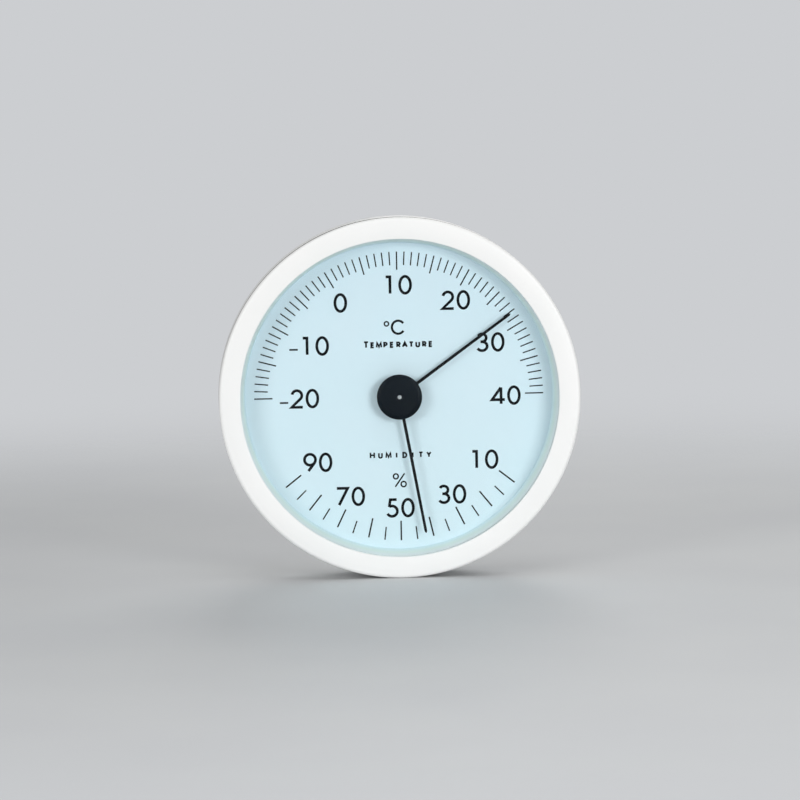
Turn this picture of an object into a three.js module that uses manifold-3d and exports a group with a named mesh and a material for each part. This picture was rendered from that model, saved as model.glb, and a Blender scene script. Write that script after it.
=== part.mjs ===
// Round wall instrument with a thermometer and a hygrometer, two hands on one centre.
// Millimetres, +Z up. The hands turn about the Y axis and the dial faces -Y. A depth is counted
// from the wall towards the viewer. The origin lies on the hands' axis, halfway through the depth.
// A clock angle is 0 at twelve o'clock and grows clockwise as the viewer sees it.

import * as THREE from "three";
import { mergeVertices } from "three/addons/utils/BufferGeometryUtils.js";
import Module from "manifold-3d";

const wasm = await Module();
wasm.setup();

// Clearances shared by all pieces
const seatGap = 0.1; // between flat faces that are held together
const fitGap = 0.1; // around a pin or neck in its hole
const endShake = 0.3; // lengthwise play of a turning piece
const overrun = 1; // how far a cut runs past the face it opens

// Outer shell, from the outside in
const caseDiameter = 150;
const caseWall = 2.2;
const caseTaper = 1.4;
const sideBand = 9; // straight part of the case's side, under its rim
const bezelWall = 3.4;
const spigotGap = 0.2;
const screwChannel = 2.6;
const skirtWall = 1.1;
const glassSideGap = 0.3;
const glassLap = 1.5;

// Back of the case
const standoffHeight = 2;
const standoffWidth = 3;
const standoffInset = 14;
const standoffNotch = 12;
const backWall = 2;
const backRound = 1;
const cornerFillet = 1;
const keyholeHead = 9;
const keyholeSlot = 4.6;
const keyholeTravel = 9;
const keyholeMargin = 2.7;
const keyholePadWall = 2.4;
const keyholePadHeight = 1.4;
const ventWidth = 2.6;
const ventLength = 14;
const ventMargin = 3.5;
const ribThickness = 1.8;
const ribReach = 3.2;
const ribFootReach = 7;
const rimChamfer = 0.3;

// Screws that hold the bezel
const caseScrewHeadRadius = 2;
const caseScrewHeadHeight = 1.4;
const caseScrewShank = 1;
const caseScrewLength = 14;
const counterboreGap = 0.2;
const counterboreDepth = 6;
const towerBite = 0.5;
const bossWall = 0.7;
const pilotSpare = 1.2;
const recessWidth = 0.7;
const recessDepth = 0.8;
const headChamfer = 0.3;

// Bezel
const lipThickness = 1.8;
const lipRound = 0.5;
const edgeRound = 1.6;
const crownHeight = 0.25;
const rimRise = 6; // from the back of the dial to the bezel's rim
const shadowGapWidth = 3.2;
const shadowGapDepth = 1.6;
const spigotDrop = 1.9; // from the back of the dial to the end of the spigot
const skirtDrop = 0.9;

// Window, seal, spacer and dial
const glassThickness = 2;
const glassClearance = 1.2;
const gasketThickness = 0.4;
const gasketInset = 0.2;
const spacerSlope = 2.1;
const spacerWall = 1.2;
const dialThickness = 1;

// Frame of the movement
const movementClearance = 0.7;
const plateRadius = 21;
const plateThickness = 1.2;
const rearPlateThickness = 1;
const rearHubRadius = 7;
const rearArmWidth = 5;
const pillarInset = 3;
const pillarRadius = 2;
const tenonRadius = 1.2;
const pillarScrewHeadRadius = 1.8;
const pillarScrewHeadHeight = 1.2;
const pillarScrewShank = 0.8;
const pillarScrewLength = 5;
const driverSlotWidth = 0.5;
const driverSlotDepth = 0.5;

// Centre bush and nut
const bushFlangeRadius = 6;
const bushFlangeThickness = 1.4;
const bushNeckRadius = 4;
const bushNeckReach = 0.2;
const nutAcrossFlats = 11;
const nutHeight = 1.4;

// Arbors, collets and coils
const humidityArborRadius = 0.8;
const pivotRadius = 0.4;
const pivotDepth = 1.4;
const temperatureArborRadius = 1.5;
const arborReach = 0.1;
const arborTail = 0.2;
const trainGap = 0.5;
const colletRadius = 3;
const colletLength = 2.8;
const coilThickness = 0.4;
const coilClearance = 0.65; // from the coil's anchor to the pillars
const coilTurnGap = 0.4; // least gap from the anchor to the next turn inside it
const coilMargin = 0.2;
const anchorRadius = 1.3;
const anchorTenonRadius = 0.8;

// Adjuster
const adjusterHeadRadius = 4;
const adjusterHoleGap = 0.3;
const adjusterRecess = 0.6;
const adjusterNeckRadius = 2.5;
const adjusterNeckReach = 0.3;
const adjusterSlotWidth = 1.2;
const adjusterSlotDepth = 1.2;
const washerHeight = 0.7;
const washerThickness = 0.3;
const washerRim = 1.3;
const armThickness = 0.8;
const armHubRadius = 4.4;
const armWidth = 4;

// Hands and cap
const handThickness = 0.3;
const handRootWidth = 1.1;
const handTipWidth = 0.8;
const handPoint = 0.6;
const handHubRadius = 3.4;
const handTailInset = 1.8; // from the cap's edge to the end of the tail under it
const handTailWidth = 2.6;
const handColletWall = 1;
const handColletLength = 0.6;
const temperatureTipGap = 8.5;
const humidityTipGap = 8;
const capRadius = 9.4;
const capThickness = 1.6;
const capEdge = 0.5;

// Readings and counts
const temperatureReading = 28.1;
const temperatureAtTwelve = 10;
const degreesPerCelsius = 3;
const humidityReading = 42.2;
const humidityAtSix = 50;
const degreesPerPercent = 1.3;
const coilStepsPerTurn = 15;
const screwCount = 3;
const ribCount = 6;
const notchCount = 4;
const ventCount = 20;
const pillarCount = 3;
const caseSegments = 60;
const capSegments = 36;
const holeSegments = 20;
const pinSegments = 12;
const slotSteps = 6;
const ventSteps = 3;

// Depths, from the wall forwards
const backOuter = standoffHeight;
const backInner = backOuter + backWall;
const rearPlateBack = backInner + movementClearance + pillarScrewHeadHeight + seatGap;
const rearPlateFront = rearPlateBack + rearPlateThickness;
const armBack = rearPlateFront + seatGap;
const armFront = armBack + armThickness;
const adjusterNeckFront = armFront + adjusterNeckReach;
const humidityColletBack = adjusterNeckFront + endShake;
const humidityColletFront = humidityColletBack + colletLength;
const temperatureArborBack = humidityColletFront + trainGap;
const temperatureColletBack = temperatureArborBack + arborTail;
const temperatureColletFront = temperatureColletBack + colletLength;
const bushFlangeBack = temperatureColletFront + endShake;
const bushFlangeFront = bushFlangeBack + bushFlangeThickness;
const frontPlateBack = bushFlangeFront + seatGap;
const frontPlateFront = frontPlateBack + plateThickness;
const dialBack = frontPlateFront + seatGap;
const dialFront = dialBack + dialThickness;
const nutBack = dialFront + seatGap;
const nutFront = nutBack + nutHeight;
const bushNeckFront = nutFront + bushNeckReach;
const temperatureHandColletBack = bushNeckFront + endShake;
const temperatureHandBack = temperatureHandColletBack + handColletLength + seatGap;
const temperatureHandFront = temperatureHandBack + handThickness;
const temperatureArborFront = temperatureHandFront + arborReach;
const humidityHandColletBack = temperatureArborFront + endShake;
const humidityHandBack = humidityHandColletBack + handColletLength + seatGap;
const humidityHandFront = humidityHandBack + handThickness;
const capBack = humidityHandFront + seatGap;
const capFront = capBack + capThickness;
const humidityArborFront = capFront + arborReach;
const glassBack = humidityArborFront + glassClearance;
const glassFront = glassBack + glassThickness;
const gasketBack = glassFront + seatGap;
const gasketFront = gasketBack + gasketThickness;
const lipBack = gasketFront + seatGap;
const overallDepth = lipBack + lipThickness;
const dialSeat = dialBack - seatGap;
const bezelRim = dialBack + rimRise;
const shadowGapFront = bezelRim + shadowGapWidth;
const caseRim = bezelRim - seatGap;
const sideBandBack = caseRim - sideBand;
const spigotBack = dialBack - spigotDrop;
const towerFront = spigotBack - seatGap;

// Radii, from the outside in
const caseRadius = caseDiameter / 2;
const caseInner = caseRadius - caseWall;
const spigotOuter = caseInner - spigotGap;
const bezelInner = caseRadius - bezelWall;
const skirtOuter = bezelInner - screwChannel;
const skirtInner = skirtOuter - skirtWall;
const glassRadius = skirtInner - glassSideGap;
const openingRadius = glassRadius - glassLap;
const screwCircle = (bezelInner + skirtOuter) / 2;
const screwHoleRadius = caseScrewShank + fitGap;
const standoffOuter = caseRadius - standoffInset;
const standoffInner = standoffOuter - standoffWidth;
const keyholeSlotTop = standoffInner - keyholeMargin - keyholeSlot / 2;
const keyholeHeadCentre = keyholeSlotTop - keyholeTravel;
const ventOuter = keyholeHeadCentre - keyholeHead / 2 - ventMargin;
const handTailLength = capRadius - handTailInset;
const coilStart = colletRadius + fitGap + coilThickness / 2;
const pillarCircle = plateRadius - pillarInset;
const coilEnd = pillarCircle - pillarRadius - coilClearance - anchorRadius;
const coilLeastPitch = anchorRadius + coilThickness / 2 + coilTurnGap;
const coilTurns = Math.floor((coilEnd - coilStart) / coilLeastPitch);

// Clock angles
const temperatureAngle = turn((temperatureReading - temperatureAtTwelve) * degreesPerCelsius);
const humidityAngle = Math.PI + turn((humidityReading - humidityAtSix) * degreesPerPercent);
const screwStart = Math.PI / 6;
const notchStart = Math.PI / 4;
const temperatureAnchorAngle = Math.PI / 3;
const adjusterArmAngle = Math.PI;

function turn(degrees) {
  return THREE.MathUtils.degToRad(degrees);
}

function depthToY(depth) {
  return overallDepth / 2 - depth;
}

// A closed mesh as a solid, with its seam and poles merged and its faces pointing out
function toSolid(geometry) {
  const bare = geometry.clone();
  bare.deleteAttribute("normal");
  bare.deleteAttribute("uv");
  const merged = mergeVertices(bare);
  const points = merged.getAttribute("position").array;
  const corners = merged.getIndex().array;
  const triangles = [];
  for (let i = 0; i < corners.length; i += 3) {
    const [a, b, c] = [corners[i], corners[i + 1], corners[i + 2]];
    if (a !== b && b !== c && c !== a) {
      triangles.push(a, b, c);
    }
  }
  if (signedVolume(points, triangles) < 0) {
    triangles.reverse();
  }
  const mesh = new wasm.Mesh({
    numProp: 3,
    vertProperties: new Float32Array(points),
    triVerts: new Uint32Array(triangles),
  });
  return new wasm.Manifold(mesh);
}

function signedVolume(points, triangles) {
  const corner = (i) => new THREE.Vector3().fromArray(points, triangles[i] * 3);
  let sum = 0;
  for (let i = 0; i < triangles.length; i += 3) {
    sum += corner(i).dot(corner(i + 1).cross(corner(i + 2)));
  }
  return sum;
}

function toGeometry(solid) {
  const mesh = solid.getMesh();
  const geometry = new THREE.BufferGeometry();
  geometry.setAttribute("position", new THREE.BufferAttribute(mesh.vertProperties, 3));
  geometry.setIndex(new THREE.BufferAttribute(mesh.triVerts, 1));
  geometry.computeVertexNormals();
  return geometry;
}

function join(first, ...others) {
  return toGeometry(others.reduce((sum, other) => sum.add(toSolid(other)), toSolid(first)));
}

function cut(first, ...tools) {
  return toGeometry(tools.reduce((rest, tool) => rest.subtract(toSolid(tool)), toSolid(first)));
}

// A profile of [radius, depth] points turned about the hands' axis
function revolve(profile, segments) {
  const outline = profile.map(([radius, depth]) => new THREE.Vector2(radius, depthToY(depth)));
  outline.push(outline[0].clone());
  return new THREE.LatheGeometry(outline, segments);
}

function ring(inner, outer, back, front, segments) {
  return revolve([[inner, back], [outer, back], [outer, front], [inner, front]], segments);
}

function rod(radius, back, front, segments) {
  return ring(0, radius, back, front, segments);
}

// A flat outline seen from the front, given thickness between two depths
function plate(shape, back, front) {
  const geometry = new THREE.ExtrudeGeometry(shape, { depth: front - back, bevelEnabled: false });
  geometry.rotateX(Math.PI / 2);
  return geometry.translate(0, depthToY(back), 0);
}

function block(width, height, back, front) {
  const geometry = new THREE.BoxGeometry(width, front - back, height);
  return geometry.translate(0, depthToY((back + front) / 2), 0);
}

function outline(points, ...holes) {
  const vectors = (list) => list.map(([x, y]) => new THREE.Vector2(x, y));
  const shape = new THREE.Shape(vectors(points));
  shape.holes = holes.map((hole) => new THREE.Path(vectors(hole).reverse()));
  return shape;
}

function circle(x, y, radius, steps) {
  return arc(x, y, radius, 0, Math.PI * 2, steps).slice(1);
}

// A slot with round ends that runs straight up between two heights
function slot(width, low, high, steps) {
  const lowEnd = arc(0, low, width / 2, Math.PI, Math.PI * 2, steps);
  return outline([...lowEnd, ...arc(0, high, width / 2, 0, Math.PI, steps)]);
}

function arc(centreX, centreY, radius, from, to, steps) {
  return Array.from({ length: steps + 1 }, (_, i) => {
    const angle = from + (to - from) * i / steps;
    return [centreX + radius * Math.cos(angle), centreY + radius * Math.sin(angle)];
  });
}

// Copies of one shape, made at twelve o'clock and turned to even clock angles
function around(count, start, make) {
  return Array.from({ length: count }, (_, i) => make().rotateY(start + i * Math.PI * 2 / count));
}

function clockPoint(radius, angle) {
  return [radius * Math.sin(angle), radius * Math.cos(angle)];
}

// Rear case: a turned cup that narrows to the back, with a standoff ring, ribs and screw towers
function rearCase() {
  const rearRadius = caseRadius - caseTaper;
  const rearInner = caseInner - caseTaper;
  const cup = revolve([
    [0, backOuter],
    [standoffInner, backOuter],
    [standoffInner, 0],
    [standoffOuter, 0],
    [standoffOuter, backOuter],
    ...arc(rearRadius - backRound, backOuter + backRound, backRound, -Math.PI / 2, 0, 3),
    [caseRadius, sideBandBack],
    [caseRadius, caseRim - rimChamfer],
    [caseRadius - rimChamfer, caseRim],
    [caseInner, caseRim],
    [caseInner, sideBandBack],
    [rearInner, backInner + cornerFillet],
    [rearInner - cornerFillet, backInner],
    [0, backInner],
  ], caseSegments);
  const towers = around(screwCount, screwStart, screwTower);
  const ribs = around(ribCount, 0, dialRib);
  const body = join(cup, keyholePad(), ...towers, ...ribs);
  return cut(body, ...backHoles());
}

function screwTower() {
  const radius = caseInner - screwCircle + towerBite;
  const front = towerFront;
  const tower = rod(radius, backInner - backWall / 2, front, holeSegments);
  return tower.translate(0, 0, screwCircle);
}

// A gusset whose inner part carries the dial and whose outer part clears the bezel's skirt
function dialRib() {
  const foot = backInner - backWall / 2;
  const wall = caseInner + caseWall / 2;
  const top = glassRadius - ribReach;
  const profile = [
    [top - ribFootReach, foot],
    [wall - caseTaper, foot],
    [wall, sideBandBack],
    [wall, towerFront],
    [glassRadius, towerFront],
    [glassRadius, dialSeat],
    [top, dialSeat],
  ];
  const shape = outline(profile.map(([radius, depth]) => [radius, depthToY(depth)]));
  const rib = new THREE.ExtrudeGeometry(shape, { depth: ribThickness, bevelEnabled: false });
  return rib.translate(0, 0, -ribThickness / 2).rotateY(-Math.PI / 2);
}

function keyholePad() {
  const width = keyholeHead + keyholePadWall * 2;
  const shape = slot(width, keyholeHeadCentre, keyholeSlotTop - keyholePadWall, slotSteps);
  return plate(shape, backInner - backWall / 2, backInner + keyholePadHeight);
}

function backHoles() {
  const far = backInner + keyholePadHeight + overrun;
  const near = -overrun;
  const head = rod(keyholeHead / 2, near, far, holeSegments).translate(0, 0, keyholeHeadCentre);
  const keyhole = slot(keyholeSlot, keyholeHeadCentre, keyholeSlotTop, slotSteps);
  const adjusterHole = rod(adjusterHeadRadius + adjusterHoleGap, near, far, holeSegments);
  const vent = slot(ventWidth, ventOuter - ventLength, ventOuter, ventSteps);
  const ringMiddle = (standoffInner + standoffOuter) / 2;
  const ringCut = standoffWidth + overrun * 2;
  return [
    head,
    plate(keyhole, near, far),
    adjusterHole,
    ...around(ventCount, Math.PI / ventCount, () => plate(vent, near, far)),
    ...around(notchCount, notchStart, () => {
      return block(standoffNotch, ringCut, near, backOuter).translate(0, 0, ringMiddle);
    }),
    ...around(screwCount, screwStart, () => {
      const bore = caseScrewHeadRadius + counterboreGap;
      const counterbore = rod(bore, near, backOuter + counterboreDepth, holeSegments);
      return counterbore.translate(0, 0, screwCircle);
    }),
    ...around(screwCount, screwStart, () => {
      return rod(screwHoleRadius, near, towerFront + overrun, pinSegments).translate(0, 0, screwCircle);
    }),
  ];
}

// Bezel: crowned face, lip over the glass, shadow gap above the case, skirt and spigot
function bezel() {
  const edge = overallDepth - crownHeight;
  const faceInner = openingRadius + lipRound;
  const faceOuter = caseRadius - edgeRound;
  const crown = [-0.5, 0, 0.5].map((share) => {
    const radius = (faceInner + faceOuter) / 2 + share * (faceOuter - faceInner);
    return [radius, edge + crownHeight * (1 - 4 * share * share)];
  });
  const body = revolve([
    [openingRadius, lipBack],
    ...arc(faceInner, edge - lipRound, lipRound, Math.PI, Math.PI / 2, 2),
    ...crown.slice(1, -1),
    ...arc(faceOuter, edge - edgeRound, edgeRound, Math.PI / 2, 0, 4),
    [caseRadius, shadowGapFront],
    [caseRadius - shadowGapDepth, shadowGapFront],
    [caseRadius - shadowGapDepth, bezelRim],
    [spigotOuter, bezelRim],
    [spigotOuter, spigotBack],
    [bezelInner, spigotBack],
    [bezelInner, lipBack],
    [skirtOuter, lipBack],
    [skirtOuter, dialBack - skirtDrop],
    [skirtInner, dialBack - skirtDrop],
    [skirtInner, lipBack],
  ], caseSegments);
  const bosses = around(screwCount, screwStart, () => {
    const boss = rod(screwHoleRadius + bossWall, spigotBack, lipBack + lipRound, holeSegments);
    return boss.translate(0, 0, screwCircle);
  });
  const pilots = around(screwCount, screwStart, () => {
    const end = caseScrewTip() + pilotSpare;
    return rod(screwHoleRadius, spigotBack - overrun, end, pinSegments).translate(0, 0, screwCircle);
  });
  return cut(join(body, ...bosses), ...pilots);
}

function caseScrewTip() {
  return backOuter + counterboreDepth - seatGap + caseScrewLength;
}

// Case screw: chamfered head with a cross recess, shank with a cone point
function caseScrew() {
  const headFront = backOuter + counterboreDepth - seatGap;
  const headBack = headFront - caseScrewHeadHeight;
  const tip = caseScrewTip();
  const body = revolve([
    [0, headBack],
    [caseScrewHeadRadius - headChamfer, headBack],
    [caseScrewHeadRadius, headBack + headChamfer],
    [caseScrewHeadRadius, headFront],
    [caseScrewShank, headFront],
    [caseScrewShank, tip - caseScrewShank],
    [0, tip],
  ], pinSegments);
  const length = caseScrewHeadRadius * 1.2;
  const across = block(length, recessWidth, headBack - overrun, headBack + recessDepth);
  const upright = block(recessWidth, length, headBack - overrun, headBack + recessDepth);
  return cut(body, across, upright).translate(0, 0, screwCircle);
}

function glassGasket() {
  return ring(openingRadius + gasketInset, glassRadius, gasketBack, gasketFront, caseSegments);
}

function dialGlass() {
  return rod(glassRadius, glassBack, glassFront, caseSegments);
}

// Spacer ring: a sloped wall with a foot on the dial and a flange under the glass
function spacerRing() {
  const back = dialFront + seatGap;
  const front = glassBack - seatGap;
  const footInner = openingRadius - spacerSlope;
  return revolve([
    [footInner, back],
    [glassRadius, back],
    [glassRadius, back + spacerWall],
    [footInner + spacerWall + spacerSlope / 2, back + spacerWall],
    [openingRadius + spacerWall, front - spacerWall],
    [glassRadius, front - spacerWall],
    [glassRadius, front],
    [openingRadius, front],
  ], caseSegments);
}

function dialPlate() {
  return ring(bushNeckRadius + fitGap, glassRadius, dialBack, dialFront, caseSegments);
}

// Front plate of the movement, with holes for the bush, the pillars' tenons and the coil's anchor
function frontPlate() {
  const pillarHoles = pillarAngles().map((angle) => {
    return circle(...clockPoint(pillarCircle, angle), tenonRadius + fitGap, pinSegments);
  });
  const anchorCentre = clockPoint(coilEnd, temperatureAnchorAngle);
  const anchorHole = circle(...anchorCentre, anchorTenonRadius + fitGap, pinSegments);
  const neckHole = circle(0, 0, bushNeckRadius + fitGap, holeSegments);
  const edge = circle(0, 0, plateRadius, capSegments);
  return plate(outline(edge, neckHole, ...pillarHoles, anchorHole), frontPlateBack, frontPlateFront);
}

function pillarAngles() {
  return Array.from({ length: pillarCount }, (_, i) => i * Math.PI * 2 / pillarCount);
}

// Rear plate: a hub with one arm to each pillar
function rearPlate() {
  const hub = rod(rearHubRadius, rearPlateBack, rearPlateFront, holeSegments);
  const arm = slot(rearArmWidth, 0, pillarCircle, slotSteps);
  const arms = around(pillarCount, 0, () => plate(arm, rearPlateBack, rearPlateFront));
  const through = [rearPlateBack - overrun, rearPlateFront + overrun];
  const neckHole = rod(adjusterNeckRadius + fitGap, ...through, holeSegments);
  const screwHoles = around(pillarCount, 0, () => {
    return rod(pillarScrewShank + fitGap, ...through, pinSegments).translate(0, 0, pillarCircle);
  });
  return cut(join(hub, ...arms), neckHole, ...screwHoles);
}

// Pillar: a tenon in the front plate and a blind screw hole at the back
function pillar() {
  const back = rearPlateFront + seatGap;
  const hole = pillarScrewShank + fitGap;
  const holeEnd = rearPlateBack - seatGap + pillarScrewLength + endShake;
  const body = revolve([
    [hole, back],
    [pillarRadius, back],
    [pillarRadius, frontPlateBack - seatGap],
    [tenonRadius, frontPlateBack - seatGap],
    [tenonRadius, frontPlateFront],
    [0, frontPlateFront],
    [0, holeEnd],
    [hole, holeEnd],
  ], pinSegments);
  return body.translate(0, 0, pillarCircle);
}

function pillarScrew() {
  const headFront = rearPlateBack - seatGap;
  const headBack = headFront - pillarScrewHeadHeight;
  const body = revolve([
    [0, headBack],
    [pillarScrewHeadRadius, headBack],
    [pillarScrewHeadRadius, headFront],
    [pillarScrewShank, headFront],
    [pillarScrewShank, headFront + pillarScrewLength],
    [0, headFront + pillarScrewLength],
  ], pinSegments);
  const length = (pillarScrewHeadRadius + overrun) * 2;
  const driverSlot = block(length, driverSlotWidth, headBack - overrun, headBack + driverSlotDepth);
  return cut(body, driverSlot).translate(0, 0, pillarCircle);
}

// Centre bush: the temperature arbor's bearing, whose neck passes through the plate and the dial
function centreBush() {
  const bore = temperatureArborRadius + fitGap;
  return revolve([
    [bore, bushFlangeBack],
    [bushFlangeRadius, bushFlangeBack],
    [bushFlangeRadius, bushFlangeFront],
    [bushNeckRadius, bushFlangeFront],
    [bushNeckRadius, bushNeckFront],
    [bore, bushNeckFront],
  ], holeSegments);
}

function centreNut() {
  const corner = nutAcrossFlats / 2 / Math.cos(Math.PI / 6);
  const neckHole = circle(0, 0, bushNeckRadius + fitGap, holeSegments);
  return plate(outline(circle(0, 0, corner, 6), neckHole), nutBack, nutFront);
}

// Coil: a flat strip wound in a spiral from its collet, with a straight end in its anchor's slit
function coil(anchorAngle, back, front) {
  const steps = coilTurns * coilStepsPerTurn;
  const half = coilThickness / 2;
  const lead = anchorRadius * 2 / coilEnd;
  const spiralEnd = coilEnd / Math.cos(lead);
  const side = (offset) => {
    const spiral = Array.from({ length: steps + 1 }, (_, i) => {
      const share = i / steps;
      const angle = (share - 1) * coilTurns * Math.PI * 2 - lead;
      return clockPoint(coilStart + (spiralEnd - coilStart) * share + offset, angle);
    });
    return [...spiral, [anchorRadius, coilEnd + offset]];
  };
  const strip = outline([...side(half), ...side(-half).reverse()]);
  return plate(strip, back + coilMargin, front - coilMargin).rotateY(anchorAngle);
}

// Anchor: a post slit lengthwise to take the coil's outer end, with a tenon that fixes it
function anchor(angle, freeEnd, seat, tenonEnd, slitEnd) {
  const [slitStart, slitStop] = [freeEnd, slitEnd].sort((a, b) => a - b);
  const post = revolve([
    [0, freeEnd],
    [anchorRadius, freeEnd],
    [anchorRadius, seat],
    [anchorTenonRadius, seat],
    [anchorTenonRadius, tenonEnd],
    [0, tenonEnd],
  ], pinSegments);
  const openEnd = freeEnd < slitEnd ? slitStart - overrun : slitStart;
  const farEnd = freeEnd < slitEnd ? slitStop : slitStop + overrun;
  const width = coilThickness + fitGap * 2;
  const slit = block((anchorRadius + overrun) * 2, width, openEnd, farEnd);
  return cut(post, slit).translate(0, 0, coilEnd).rotateY(angle);
}

function temperatureAnchor() {
  const seat = frontPlateBack - seatGap;
  const slitEnd = temperatureColletFront;
  return anchor(temperatureAnchorAngle, temperatureColletBack, seat, frontPlateFront, slitEnd);
}

function humidityAnchor() {
  const seat = armFront + seatGap;
  return anchor(adjusterArmAngle, humidityColletFront, seat, armBack, humidityColletBack);
}

function temperatureArbor() {
  const bore = humidityArborRadius + fitGap;
  const back = temperatureArborBack;
  return ring(bore, temperatureArborRadius, back, temperatureArborFront, holeSegments);
}

function temperatureCollet() {
  const bore = temperatureArborRadius + fitGap;
  return ring(bore, colletRadius, temperatureColletBack, temperatureColletFront, holeSegments);
}

function humidityCollet() {
  const bore = humidityArborRadius + fitGap;
  return ring(bore, colletRadius, humidityColletBack, humidityColletFront, holeSegments);
}

// Humidity arbor: a long pin inside the temperature arbor, with a fine pivot at the back
function humidityArbor() {
  const shoulder = adjusterNeckFront + endShake / 2;
  return revolve([
    [0, adjusterNeckFront - pivotDepth + endShake],
    [pivotRadius, adjusterNeckFront - pivotDepth + endShake],
    [pivotRadius, shoulder],
    [humidityArborRadius, shoulder],
    [humidityArborRadius, humidityArborFront],
    [0, humidityArborFront],
  ], pinSegments);
}

// Adjuster: a slotted head in the back of the case, with the pivot hole in its neck
function humidityAdjuster() {
  const headBack = backOuter + adjusterRecess;
  const headFront = rearPlateBack - seatGap * 2 - washerHeight;
  const hole = pivotRadius + fitGap;
  const holeEnd = adjusterNeckFront - pivotDepth;
  const body = revolve([
    [0, headBack],
    [adjusterHeadRadius, headBack],
    [adjusterHeadRadius, headFront],
    [adjusterNeckRadius, headFront],
    [adjusterNeckRadius, adjusterNeckFront],
    [hole, adjusterNeckFront],
    [hole, holeEnd],
    [0, holeEnd],
  ], holeSegments);
  const length = (adjusterHeadRadius + overrun) * 2;
  const slot = block(length, adjusterSlotWidth, headBack - overrun, headBack + adjusterSlotDepth);
  return cut(body, slot);
}

// Washer: a shallow spring cone between the adjuster's head and the rear plate
function adjusterWasher() {
  const inner = adjusterNeckRadius + fitGap;
  const outer = inner + washerRim;
  const front = rearPlateBack - seatGap;
  const back = front - washerHeight;
  return revolve([
    [inner, front - washerThickness],
    [outer, back],
    [outer, back + washerThickness],
    [inner, front],
  ], holeSegments);
}

function adjusterArm() {
  const reach = plate(slot(armWidth, 0, coilEnd, slotSteps), armBack, armFront);
  const hub = rod(armHubRadius, armBack, armFront, holeSegments);
  const through = [armBack - overrun, armFront + overrun];
  const neckHole = rod(adjusterNeckRadius + fitGap, ...through, holeSegments);
  const tenonHole = rod(anchorTenonRadius + fitGap, ...through, pinSegments);
  return cut(join(reach, hub), neckHole, tenonHole.translate(0, 0, coilEnd)).rotateY(adjusterArmAngle);
}

// Hand: a slim needle with a round hub and a short tail that the cap hides
function hand(length, bore, back) {
  const needle = Math.asin(handRootWidth / 2 / handHubRadius);
  const tail = Math.asin(handTailWidth / 2 / handHubRadius);
  const up = Math.PI / 2;
  const edge = [
    [handTipWidth / 2, length - handPoint],
    [0, length],
    [-handTipWidth / 2, length - handPoint],
    ...arc(0, 0, handHubRadius, up + needle, up * 3 - tail, slotSteps),
    [-handTailWidth / 2, -handTailLength],
    [handTailWidth / 2, -handTailLength],
    ...arc(0, 0, handHubRadius, tail - up, up - needle, slotSteps),
  ];
  return plate(outline(edge, circle(0, 0, bore, pinSegments)), back, back + handThickness);
}

function temperatureHand() {
  const length = openingRadius - temperatureTipGap;
  return hand(length, temperatureArborRadius + fitGap, temperatureHandBack);
}

function humidityHand() {
  const length = openingRadius - humidityTipGap;
  return hand(length, humidityArborRadius + fitGap, humidityHandBack);
}

function handCollet(arborRadius, back) {
  const bore = arborRadius + fitGap;
  return ring(bore, bore + handColletWall, back, back + handColletLength, holeSegments);
}

// Cap: a low turned button with a rounded shoulder and the arbor's hole
function centreCap() {
  const bore = humidityArborRadius + fitGap;
  return revolve([
    [bore, capBack],
    [capRadius - capEdge / 2, capBack],
    [capRadius, capBack + capEdge / 2],
    [capRadius, capFront - capEdge * 2],
    [capRadius - capEdge, capFront - capEdge],
    [capRadius - capEdge * 4, capFront],
    [bore, capFront],
  ], capSegments);
}

function material(color, roughness, metalness, extra = {}) {
  return new THREE.MeshStandardMaterial({ color, roughness, metalness, ...extra });
}

const whitePlastic = material(0xf6f5f1, 0.35, 0);
const palePlastic = material(0xdfe7e6, 0.5, 0);
const dialPaint = material(0xe6f2f8, 0.6, 0);
const clearGlass = material(0xe8f4f2, 0.05, 0, { transparent: true, opacity: 0.25 });
const blackRubber = material(0x2b2d2e, 0.8, 0);
const blackPaint = material(0x101215, 0.45, 0.1);
const capPlastic = material(0x131d26, 0.35, 0);
const brass = material(0xc9a253, 0.35, 1);
const steel = material(0xb9bcc0, 0.3, 1);
const bimetal = material(0xa89a86, 0.4, 1);
const hygroStrip = material(0x9fb4a8, 0.5, 0.5);

const instrument = new THREE.Group();
const temperatureTrain = new THREE.Group();
const humidityTrain = new THREE.Group();
temperatureTrain.rotation.y = temperatureAngle;
humidityTrain.rotation.y = humidityAngle;
instrument.add(temperatureTrain, humidityTrain);

function add(parent, name, geometry, finish, angle = 0) {
  const mesh = new THREE.Mesh(toGeometry(toSolid(geometry)), finish);
  mesh.name = name;
  mesh.rotation.y = angle;
  parent.add(mesh);
}

function addCopies(name, count, start, make, finish) {
  for (let i = 0; i < count; i += 1) {
    add(instrument, `${name}_${i + 1}`, make(), finish, start + i * Math.PI * 2 / count);
  }
}

add(instrument, "rear_case", rearCase(), whitePlastic);
add(instrument, "bezel", bezel(), whitePlastic);
addCopies("case_screw", screwCount, screwStart, caseScrew, steel);
add(instrument, "glass_gasket", glassGasket(), blackRubber);
add(instrument, "dial_glass", dialGlass(), clearGlass);
add(instrument, "spacer_ring", spacerRing(), palePlastic);
add(instrument, "dial_plate", dialPlate(), dialPaint);
add(instrument, "front_plate", frontPlate(), brass);
add(instrument, "centre_bush", centreBush(), brass);
add(instrument, "centre_nut", centreNut(), brass);
addCopies("pillar", pillarCount, 0, pillar, brass);
add(instrument, "rear_plate", rearPlate(), brass);
addCopies("pillar_screw", pillarCount, 0, pillarScrew, steel);
add(instrument, "temperature_anchor", temperatureAnchor(), brass);
const temperatureCoil = coil(temperatureAnchorAngle, temperatureColletBack, temperatureColletFront);
add(instrument, "temperature_coil", temperatureCoil, bimetal);
add(temperatureTrain, "temperature_arbor", temperatureArbor(), steel);
add(temperatureTrain, "temperature_collet", temperatureCollet(), brass);
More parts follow.
